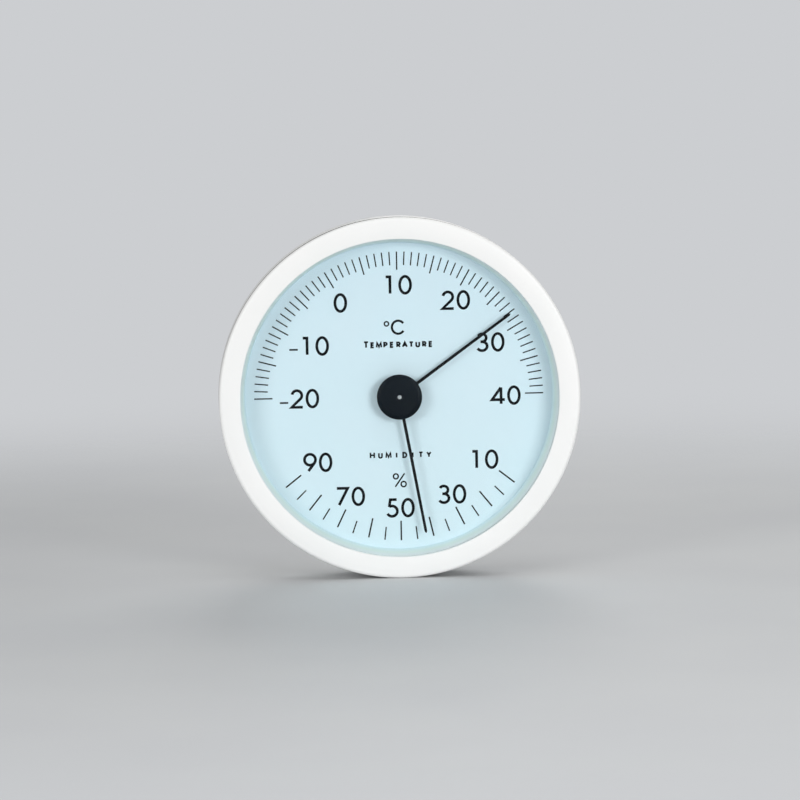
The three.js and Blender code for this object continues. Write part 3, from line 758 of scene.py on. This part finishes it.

# %% [markdown]
# ## Spacer ring
#
# The window lies on a thin sloped wall, and the wall stands on the dial. Its tone changes with
# height: the dial's own tone at its foot, a pale green halfway up and a neutral one at the lip.
# This is painted shade that stands in for the soft shading of the wall. The soft dark band round
# the edge of the dial in the photograph is shade: on the dial it comes from the geometry, on the
# wall partly from this painted shade.

# %% Spacer ring
SPACER_BACK, SPACER_FRONT = reach("spacer_ring")
spacer_corners = [
    (64.0, SPACER_BACK, 0.1),
    (67.6, SPACER_BACK, 0.1),
    (67.6, SPACER_BACK + 1.2, 0.1),
    (66.25, SPACER_BACK + 1.2, 0.3),
    (67.3, SPACER_FRONT - 1.2, 0.3),
    (67.6, SPACER_FRONT - 1.2, 0.1),
    (67.6, SPACER_FRONT, 0.1),
    (66.1, SPACER_FRONT, 0.25),
]
spacer_wall = make("spacer_wall", turned(softened(spacer_corners, 5), 240))


def spacer_tone_with_painted_shade():
    """Pale plastic whose tone follows the height above the dial, in two ramps: painted shade that
    stands in for the soft shading of the sloped wall.
    """
    recipe = Recipe("pale_plastic")
    colour = tone(220, 241, 249)
    middle = (SPACER_BACK + SPACER_FRONT) / 2
    # Painted shade: the tone by height stands in for the soft shading of the sloped wall.
    for start, end, shade in (
        (SPACER_BACK, middle, tone(224, 237, 232)),
        (middle, SPACER_FRONT, tone(230, 234, 238)),
    ):
        height = recipe.ramp(recipe.along("Y"), (WALL - start) * MM, (WALL - end) * MM)
        colour = recipe.blend(height, colour, shade)
    recipe.paint(recipe.spread(recipe.noise(16), 0, 0.3), colour, tone(218, 229, 229))
    recipe.grain(0.3, (0.42, 0.55), 0.006)
    return recipe.material


fit(spacer_wall, "root", "spacer", spacer_tone_with_painted_shade(), "spacer_ring")

# %% [markdown]
# ## Dial
#
# The dial is a thin sheet with a hole for the bush and a cool white enamel, a trace greener towards
# the bottom. Smooth shading bends over a rounded edge, and on a sheet it would go on bending right
# across the flat face. A ring of points just inside each edge stops it there.

# %% Dial


def enamel():
    """Cool white paint: a ramp over the height, soft patches and a fine grain."""
    recipe = Recipe("dial_enamel")
    height = recipe.ramp(recipe.along("Z"), -60 * MM, 55 * MM)
    base = recipe.blend(height, tone(224, 243, 254), tone(223, 241, 254))
    recipe.paint(recipe.spread(recipe.noise(22, detail=1), 0, 0.35), base, tone(228, 242, 254))
    recipe.grain(0.5, (0.48, 0.6), 0.004)
    return recipe.material


DIAL_BACK = reach("dial_plate")[0]
DIAL_EDGE = width_of("dial_plate")
DIAL_HOLE = 4.1
FLAT_RIM = 0.4
dial_corners = [
    (DIAL_HOLE, DIAL_BACK, 0.1),
    (DIAL_HOLE + FLAT_RIM, DIAL_BACK, 0),
    (DIAL_EDGE - FLAT_RIM, DIAL_BACK, 0),
    (DIAL_EDGE, DIAL_BACK, 0.15),
    (DIAL_EDGE, DIAL_FRONT, 0.15),
    (DIAL_EDGE - FLAT_RIM, DIAL_FRONT, 0),
    (DIAL_HOLE + FLAT_RIM, DIAL_FRONT, 0),
    (DIAL_HOLE, DIAL_FRONT, 0.15),
]
dial_face = make("dial_face", turned(softened(dial_corners, 4), 240))
fit(dial_face, "root", "dial", enamel(), "dial_plate")

# %% [markdown]
# ## Window
#
# The window is a flat clear pane. Glass as a shader bends every ray, and lamplight through it
# would need many samples, so rays that only carry light to the dial go straight through. The
# flat rings are there again: without them the pane would bend the view as a lens does.

# %% Window


def clear_pane():
    """Clear glass with a low shine, as from a coated pane. Rays that carry lamplight and soft light
    to the dial pass straight on, so that the dial is lit as well as the ring beside it."""
    recipe = Recipe("window_glass")
    shader = recipe.shader
    shader.inputs["Base Color"].default_value = tone(253, 255, 254)
    shader.inputs["Roughness"].default_value = 0.0
    shader.inputs["IOR"].default_value = 1.16
    shader.inputs["Transmission Weight"].default_value = 1.0
    rays = recipe.nodes.new("ShaderNodeLightPath").outputs
    either = recipe.reckon("MAXIMUM", rays["Is Shadow Ray"], rays["Is Diffuse Ray"])
    recipe.let_through(either, tone(250, 253, 252))
    return recipe.material


GLASS_BACK, GLASS_FRONT = reach("dial_glass")
GLASS_EDGE = width_of("dial_glass")
pane_corners = [
    (0, GLASS_BACK, 0),
    (GLASS_EDGE - FLAT_RIM, GLASS_BACK, 0),
    (GLASS_EDGE, GLASS_BACK, 0.2),
    (GLASS_EDGE, GLASS_FRONT, 0.2),
    (GLASS_EDGE - FLAT_RIM, GLASS_FRONT, 0),
    (0, GLASS_FRONT, 0),
]
window_pane = make("window_pane", turned(softened(pane_corners, 3), 240))
fit(window_pane, "root", "window", clear_pane(), "dial_glass")

# %% [markdown]
# ## The print on the dial
#
# The scales are screen printed: a thin even film of black, a few hundredths of a millimetre high.
# Letters from a font file would be a stranger here, because the numbers are plain drawn ones with
# round bowls and one even stroke. So each figure is written as the path that a pen would take, and
# a flat ribbon follows the path. Where two strokes of a figure cross, they are joined to one body.

# %% Ribbons and bars
INK_BACK, INK_FRONT = DIAL_FRONT - 0.04, DIAL_FRONT + 0.025


def ribbon(path, width, ring=False):
    """A flat strip along a path of x and z. At each point its edges lie half a width to either
    side, on the line that halves the bend, moved out by one over the cosine of half the bend."""
    path = np.asarray(path, float)
    ahead = np.roll(path, -1, axis=0) - path
    behind = np.roll(ahead, 1, axis=0)
    if not ring:
        ahead[-1], behind[0] = behind[-1], ahead[0]
    ahead, behind = unit(ahead), unit(behind)
    middle = unit(ahead + behind)
    outwards = np.stack([-middle[:, 1], middle[:, 0]], axis=1)
    bend = np.maximum(np.sum(middle * ahead, axis=1, keepdims=True), 0.42)
    edge = outwards * width / 2 / bend
    left, right = path + edge, path - edge
    flat = np.stack([left, right, right, left], axis=1)
    depth = np.broadcast_to([INK_FRONT, INK_FRONT, INK_BACK, INK_BACK], flat.shape[:2])
    return woven(np.stack([flat[..., 0], WALL - depth, flat[..., 1]], axis=-1), ring_rows=ring)


def bars(degrees, inner, outer, width):
    """Straight marks that point at the centre, one for each clock angle, as one set of boxes."""
    angle = np.radians(np.asarray(degrees, float))[:, None]
    radius = np.array([inner, inner, outer, outer] * 2)
    side = np.array([-1, 1, 1, -1] * 2) * width / 2
    depth = np.array([INK_BACK] * 4 + [INK_FRONT] * 4)
    x = radius * np.sin(angle) + side * np.cos(angle)
    z = radius * np.cos(angle) - side * np.sin(angle)
    points = np.stack([x, np.broadcast_to(WALL - depth, x.shape), z], axis=-1).reshape(-1, 3)
    ends = [[0, 1, 2, 3], [4, 5, 6, 7]]
    sides = [[0, 1, 5, 4], [1, 2, 6, 5], [2, 3, 7, 6], [3, 0, 4, 7]]
    faces = np.array(ends + sides)[None] + np.arange(len(angle))[:, None, None] * 8
    return points, faces.reshape(-1, 4)


# %% [markdown]
# ## Figures as pen strokes
#
# Each figure stands in a box one high. A bow is part of an ellipse, given by its centre, its two
# radii and the angles it starts and ends at. Figures that stand in numbers share one pitch, as in
# most scales, so that 10 and 90 sit alike.

# %% The drawn figures


def bow(x, y, across, up, start, end, steps=28):
    """Part of an ellipse: at angle t the pen is at x + across cos t, y + up sin t."""
    t = np.radians(np.linspace(start, end, steps))
    return np.stack([x + across * np.cos(t), y + up * np.sin(t)], axis=1).tolist()


def oval(x, y, across, up, steps=56):
    """A whole ellipse, as a closed path."""
    return bow(x, y, across, up, 0, 360 * (1 - 1 / steps), steps)


FIGURES = {
    "0": [oval(0, 0.5, 0.32, 0.5)],
    "1": [[(-0.24, 0.99), (0.01, 0.99), (0.01, 0)]],
    "2": [[*bow(-0.01, 0.70, 0.29, 0.29, 168, -43), (-0.33, 0), (0.33, 0)]],
    "3": [[*bow(-0.03, 0.765, 0.25, 0.235, 152, -90), (-0.12, 0.53)],
          [(-0.12, 0.53), *bow(-0.03, 0.265, 0.30, 0.265, 90, -152)]],
    "4": [[(0.14, 0), (0.14, 0.98)], [(0.13, 0.97), (-0.40, 0.25), (0.36, 0.25)]],
    "5": [[(0.24, 1), (-0.14, 1), (-0.21, 0.56)], bow(-0.04, 0.31, 0.31, 0.31, 122, -152)],
    "7": [[(-0.36, 1), (0.28, 1), (-0.24, 0)]],
    "9": [oval(-0.02, 0.675, 0.325, 0.325), [(0.26, 0.50), (-0.12, 0)]],
    "T": [[(-0.29, 1), (0.29, 1)], [(0, 1), (0, 0)]],
    "E": [[(0.21, 1), (-0.21, 1), (-0.21, 0), (0.21, 0)], [(-0.21, 0.52), (0.18, 0.52)]],
    "M": [[(-0.40, 0), (-0.33, 1), (0, 0.12), (0.33, 1), (0.40, 0)]],
    "P": [[(-0.22, 0), (-0.22, 1), *bow(0, 0.73, 0.24, 0.27, 90, -90), (-0.22, 0.46)]],
    "R": [[(-0.22, 0), (-0.22, 1), *bow(0, 0.73, 0.24, 0.27, 90, -90), (-0.22, 0.46)],
          [(0, 0.46), (0.26, 0)]],
    "A": [[(-0.36, 0), (0, 1), (0.36, 0)], [(-0.22, 0.36), (0.22, 0.36)]],
    "U": [[(-0.26, 1), *bow(0, 0.28, 0.26, 0.28, 180, 360), (0.26, 1)]],
    "H": [[(-0.27, 0), (-0.27, 1)], [(0.27, 0), (0.27, 1)], [(-0.27, 0.52), (0.27, 0.52)]],
    "I": [[(0, 0), (0, 1)]],
    "D": [[(-0.26, 0), (-0.26, 1), *bow(-0.06, 0.5, 0.36, 0.5, 90, -90)]],
    "Y": [[(-0.31, 1), (0, 0.48), (0.31, 1)], [(0, 0.5), (0, 0)]],
}
CLOSED_STROKES = {("0", 0), ("9", 0), ("D", 0)}


def figure(sign, x, z, height, stroke, wide=1.0):
    """One figure with its middle at (x, z): a ribbon for each stroke, joined where they cross."""
    tall = height - stroke
    whole = None
    for i, path in enumerate(FIGURES[sign]):
        placed = np.asarray(path) * [tall * wide, tall] + [x, z - tall / 2]
        strip = ribbon(placed, stroke, (sign, i) in CLOSED_STROKES)
        if whole is None:
            whole = make("figure", strip)
        else:
            work_in(whole, "UNION", strip)
    return whole


def merged(name, pieces):
    """Several objects as one, with their faces flat."""
    work = bmesh.new()
    for piece in pieces:
        work.from_mesh(piece.data)
        bpy.data.objects.remove(piece)
    mesh = bpy.data.meshes.new(name)
    work.to_mesh(mesh)
    work.free()
    piece = bpy.data.objects.new(name, mesh)
    bpy.context.scene.collection.objects.link(piece)
    return piece


def number(text, x, z, height=8.18, stroke=1.16, pitch=6.36):
    """The figures of a number, side by side at one pitch, with the middle of all at (x, z)."""
    first = x - pitch * (len(text) - 1) / 2
    return [figure(sign, first + i * pitch, z, height, stroke) for i, sign in enumerate(text)]


# %% [markdown]
# ## The two scales
#
# Temperature runs over the upper half: ten at twelve o'clock, and three degrees of arc for each
# degree of temperature. Humidity runs over the lower part: fifty at six o'clock, rising clockwise,
# with 1.3 degrees of arc for each percent. The marks get their places from those two rules. The
# numbers stand where the photograph shows them, a little off the even circle.

# %% Temperature scale
ARC_PER_DEGREE = 3.0
TOP_READING = 10
UPPER_EDGE = 60.2
TEMPERATURES = (
    ("20", -39.2, -0.3),
    ("10", -34.7, 21.55),
    ("0", -23.65, 39.3),
    ("10", 0.2, 46.3),
    ("20", 24.3, 39.5),
    ("30", 38.4, 21.65),
    ("40", 44.8, -0.75),
)
ink = finish("dial_ink", ((12, 14, 18), (20, 23, 27)), 2.5, (0.5, 0.65), 0.12, 0.002, shine=0.05)
degrees = np.arange(-20, 41)
arc = (degrees - TOP_READING) * ARC_PER_DEGREE
fives = degrees % 5 == 0
marks = [bars(arc[fives], 52.6, UPPER_EDGE, 0.54), bars(arc[~fives], 54.6, UPPER_EDGE, 0.5)]
pieces = [make("marks", *marks)]
for text, x, z in TEMPERATURES:
    pieces += number(text, x, z)
for x, z in ((-47.85, -1.9), (-43.45, 20.2)):
    pieces.append(make("minus", ribbon([(x - 1.75, z), (x + 1.75, z)], 0.72)))
temperature_scale = merged("temperature_scale", pieces)
fit(temperature_scale, "root", "black_hands", ink)

# %% Humidity scale
ARC_PER_PERCENT = 1.3
BOTTOM_READING = 50
LOWER_EDGE = 60.6
HUMIDITIES = (
    ("10", 35.1, -27.4),
    ("30", 21.45, -41.7),
    ("50", -0.2, -46.95),
    ("70", -20.85, -41.7),
    ("90", -34.2, -27.1),
)
percent = np.arange(10, 91, 5)
arc = 180 + (percent - BOTTOM_READING) * ARC_PER_PERCENT
tens = percent % 10 == 0
marks = [bars(arc[tens], 52.4, LOWER_EDGE, 0.62), bars(arc[~tens], 55.2, LOWER_EDGE, 0.54)]
pieces = [make("marks", *marks)]
for text, x, z in HUMIDITIES:
    pieces += number(text, x, z)
humidity_scale = merged("humidity_scale", pieces)
fit(humidity_scale, "root", "black_hands", ink)

# %% [markdown]
# ## Signs and words
#
# The dial says what its halves measure: the degree sign and a C over one plain word, and another
# word over the percent sign. Both words have a tall first letter.

# %% Signs and words


def word(text, x, z, tall, small, stroke, pitch):
    """A word in capitals, the first one taller, on one base line, with its middle at x."""
    first = x - pitch * (len(text) - 1) / 2
    heights = [tall] + [small] * (len(text) - 1)
    base = z - tall / 2
    return [
        figure(sign, first + i * pitch, base + height / 2, height, stroke, 1.3)
        for i, (sign, height) in enumerate(zip(text, heights))
    ]


pieces = [
    make("sign", ribbon(bow(0.2, 28.7, 2.62, 2.72, 36, 326), 0.95)),
    make("sign", ribbon(oval(-4.65, 30.2, 0.9, 0.9, 32), 0.6, ring=True)),
    make("sign", ribbon(oval(-1.85, -33.7, 1.0, 1.05, 32), 0.62, ring=True)),
    make("sign", ribbon(oval(1.35, -37.0, 1.05, 1.1, 32), 0.62, ring=True)),
    make("sign", ribbon([(1.8, -32.5), (-2.15, -38.1)], 0.62)),
]
pieces += word("TEMPERATURE", 0.15, 21.6, 3.0, 2.6, 0.74, 2.69)
pieces += word("HUMIDITY", 0.3, -24.65, 2.9, 2.6, 0.68, 3.37)
dial_words = merged("dial_words", pieces)
fit(dial_words, "root", "black_hands", ink)

# %% [markdown]
# ## The needles
#
# A needle is punched from thin sheet and painted black: a straight blade a little over a
# millimetre wide with a short point, a round hub, and a stub of a tail that the cap hides. The
# punch rounds its upper edges. The blade is a section carried along the needle, with its width as
# a function of the distance from the axis; the hub and the tail are joined to it.

# %% Needles
TEMPERATURE_READING = 28.1
HUMIDITY_READING = 42.2
HUB, INSIDE_HUB = 3.4, 2.2
TAIL = 7.6
POINT = 1.2
NEEDLE_TONES = ((9, 11, 14), (16, 19, 23))
black_paint = finish("black_paint", NEEDLE_TONES, 6, (0.4, 0.55), 0.2, 0.003, shine=0.1)


def blade(stations, half_widths, back, front):
    """A strip with rounded upper edges. At each station, the section goes from one lower edge up
    and over to the other: its half width is scaled across, and its height stays the same."""
    across = np.array([-1, -1, -0.86, -0.55, 0, 0.55, 0.86, 1, 1])
    rise = np.array([0, 0.45, 0.82, 0.96, 1, 0.96, 0.82, 0.45, 0])
    x = np.asarray(half_widths, float)[:, None] * across
    y = np.broadcast_to(WALL - back - (front - back) * rise, x.shape)
    z = np.broadcast_to(np.asarray(stations, float)[:, None], x.shape)
    return woven(np.stack([x, y, z], axis=-1))


def needle(name, node, length, bore, reading_arc):
    """A needle at twelve o'clock, turned to its reading."""
    back, front = reach(node)
    hub = [(bore, back, 0.03), (HUB, back, 0.05), (HUB, front, 0.1), (bore, front, 0.05)]
    near_point = length - np.array([0.9, 0.6, 0.35, 0.15, 0])
    along = np.concatenate([np.linspace(INSIDE_HUB, length - POINT, 12), near_point])
    known = [0, length - POINT, length - 0.6, length - 0.15, length]
    half = np.interp(along, known, [0.68, 0.58, 0.5, 0.2, 0.05])
    tail = blade([-TAIL, -TAIL + 0.3, -INSIDE_HUB], [1.1, 1.3, 1.3], back, front - 0.004)
    piece = make(name, turned(softened(hub, 4), 64))
    work_in(piece, "UNION", blade(along, half, back, front - 0.002))
    work_in(piece, "UNION", tail)
    return turn_piece(piece, math.radians(reading_arc))


arc = (TEMPERATURE_READING - TOP_READING) * ARC_PER_DEGREE
temperature_needle = needle("temperature_needle", "temperature_hand", OPENING - 8.5, 1.6, arc)
fit(temperature_needle, "temperature_pointer", "black_hands", black_paint, "temperature_hand")
arc = 180 + (HUMIDITY_READING - BOTTOM_READING) * ARC_PER_PERCENT
humidity_needle = needle("humidity_needle", "humidity_hand", OPENING - 8.0, 0.9, arc)
fit(humidity_needle, "humidity_pointer", "black_hands", black_paint, "humidity_hand")

# %% [markdown]
# ## The cap and the pin
#
# The cap is a low moulded button, blue-black and satin. In its middle shows the bright end of the
# inner shaft, with the small dimple that the lathe's centre left in it.

# %% Cap and shaft end
CAP_BACK, CAP_FRONT = reach("centre_cap")
CAP_EDGE = width_of("centre_cap")
CAP_TONES = ((5, 13, 20), (9, 18, 27))
cap_plastic = finish("cap_plastic", CAP_TONES, 7, (0.36, 0.48), 0.3, 0.006, shine=0.08)
cap_corners = [
    (0.9, CAP_BACK, 0.1),
    (CAP_EDGE, CAP_BACK, 0.25),
    (CAP_EDGE, CAP_FRONT - 0.7, 0.5),
    (CAP_EDGE - 1.6, CAP_FRONT - 0.06, 1.2),
    (CAP_EDGE - 5, CAP_FRONT, 2),
    (1.6, CAP_FRONT, 0.3),
    (0.9, CAP_FRONT - 0.25, 0.1),
]
cap_button = make("cap_button", turned(softened(cap_corners, 8), 144))
fit(cap_button, "humidity_pointer", "black_cap", cap_plastic, "centre_cap")

SHAFT_BACK, SHAFT_FRONT = reach("humidity_arbor")
shaft_corners = [
    (0, SHAFT_BACK, 0),
    (0.4, SHAFT_BACK, 0.1),
    (0.4, 8.35, 0.05),
    (0.8, 8.35, 0.1),
    (0.8, SHAFT_FRONT, 0.2),
    (0.34, SHAFT_FRONT, 0.05),
    (0, SHAFT_FRONT - 0.35, 0),
]
shaft_pin = make("shaft_pin", turned(softened(shaft_corners, 5), 48))
fit(shaft_pin, "humidity_pointer", "steel_parts", steel, "humidity_arbor")

# %% [markdown]
# ## Floor and background
#
# The stage is one pale sheet. It fades away with distance into a background of the same tone, so
# that no edge or horizon draws a line behind the white drum, from whatever side it is seen.

# %% Floor
FADE_START, FADE_END = 120, 800
FLOOR_REACH = 2300
FLOOR_ROWS, FLOOR_COLUMNS = 12, 64


def floor_sheet():
    """A matt pale floor that lets the background through, ever more with the distance from the
    origin."""
    recipe = Recipe("floor_sheet")
    cloud = recipe.spread(recipe.noise(90, detail=2), 0, 1)
    recipe.paint(cloud, tone(206, 208, 210), tone(210, 212, 213))
    recipe.shader.inputs["Roughness"].default_value = 0.55
    recipe.shader.inputs["Specular IOR Level"].default_value = 0.3
    away = recipe.nodes.new("ShaderNodeVectorMath")
    away.operation = "LENGTH"
    recipe.link(recipe.place, away.inputs[0])
    fade = recipe.ramp(away.outputs["Value"], FADE_START * MM, FADE_END * MM)
    fade.node.interpolation_type = "SMOOTHERSTEP"
    recipe.let_through(fade)
    return recipe.material


radius = np.linspace(0, FLOOR_REACH, FLOOR_ROWS)[:, None]
clock = np.arange(FLOOR_COLUMNS) * 2 * math.pi / FLOOR_COLUMNS
level = np.full((1, FLOOR_COLUMNS), cad_low.z / MM)
sheet_grid = np.broadcast_arrays(radius * np.cos(clock), radius * np.sin(clock), level)
points, faces = woven(np.stack(sheet_grid, axis=-1))
floor_mesh = bpy.data.meshes.new("floor")
floor_mesh.from_pydata((points * MM).tolist(), [], faces.tolist())
floor_mesh.validate()
floor = bpy.data.objects.new("floor", floor_mesh)
bpy.context.scene.collection.objects.link(floor)
floor_mesh.materials.append(floor_sheet())
print("floor:", len(faces), "faces, out to", FLOOR_REACH, "mm")

# %% [markdown]
# ## Light
#
# The needles in the photograph have two soft shadows, one to each side, and so has the hub: two
# large soft lamps stood left and right of the camera, the right one a little stronger, and both
# only a little higher than the object. A third one hangs above and a fourth one behind. They give
# the drum's upper side, its back and the floor their light. The room itself adds an even glow, but
# it mirrors dark, as a studio does, so that black stays black behind the glass.

# %% Lamps and room


def soft_lamp(name, right, above, distance, side, power):
    """A square lamp that looks at the origin from two angles, right of and above the view."""
    right, above = math.radians(right), math.radians(above)
    lamp = bpy.data.lights.new(name, "AREA")
    lamp.shape, lamp.size, lamp.energy = "SQUARE", side, power
    stand = bpy.data.objects.new(name, lamp)
    stand.location = (
        distance * math.sin(right) * math.cos(above),
        -distance * math.cos(right) * math.cos(above),
        distance * math.sin(above),
    )
    stand.rotation_euler = (math.pi / 2 - above, 0, right)
    bpy.context.scene.collection.objects.link(stand)
    print(f"{name}: {side} m wide, {distance} m away, {power} W")


soft_lamp("lamp_right", 30, 10, 1.4, 0.5, 7.4)
soft_lamp("lamp_left", -42, 12, 1.4, 0.5, 5.1)
soft_lamp("lamp_above", 10, 78, 1.3, 0.9, 3.4)
soft_lamp("lamp_behind", 165, 35, 1.6, 0.9, 6.0)

ROOM_TONE = tone(204, 206, 209)
room = bpy.data.worlds.new("room")
bpy.context.scene.world = room
room.use_nodes = True
glow = room.node_tree.nodes["Background"]
glow.inputs["Strength"].default_value = 0.35
glow.inputs["Color"].default_value = (1, 1, 1, 1)
rays = room.node_tree.nodes.new("ShaderNodeLightPath")
sky = glow.outputs["Background"]
for ray, strength in (("Is Glossy Ray", 0.3), ("Is Transmission Ray", 1.0), ("Is Camera Ray", 1.0)):
    seen = room.node_tree.nodes.new("ShaderNodeBackground")
    seen.inputs["Color"].default_value = ROOM_TONE
    seen.inputs["Strength"].default_value = strength
    choose = room.node_tree.nodes.new("ShaderNodeMixShader")
    room.node_tree.links.new(rays.outputs[ray], choose.inputs["Fac"])
    room.node_tree.links.new(sky, choose.inputs[1])
    room.node_tree.links.new(seen.outputs["Background"], choose.inputs[2])
    sky = choose.outputs["Shader"]
room.node_tree.links.new(sky, room.node_tree.nodes["World Output"].inputs["Surface"])

# %% [markdown]
# ## The CAD box
#
# The CAD model's box is printed, in mm. The dressed model must not be bigger than the CAD
# model.

# %% CAD box
print("CAD box", [round(v / MM, 2) for v in (*cad_low, *cad_high)])
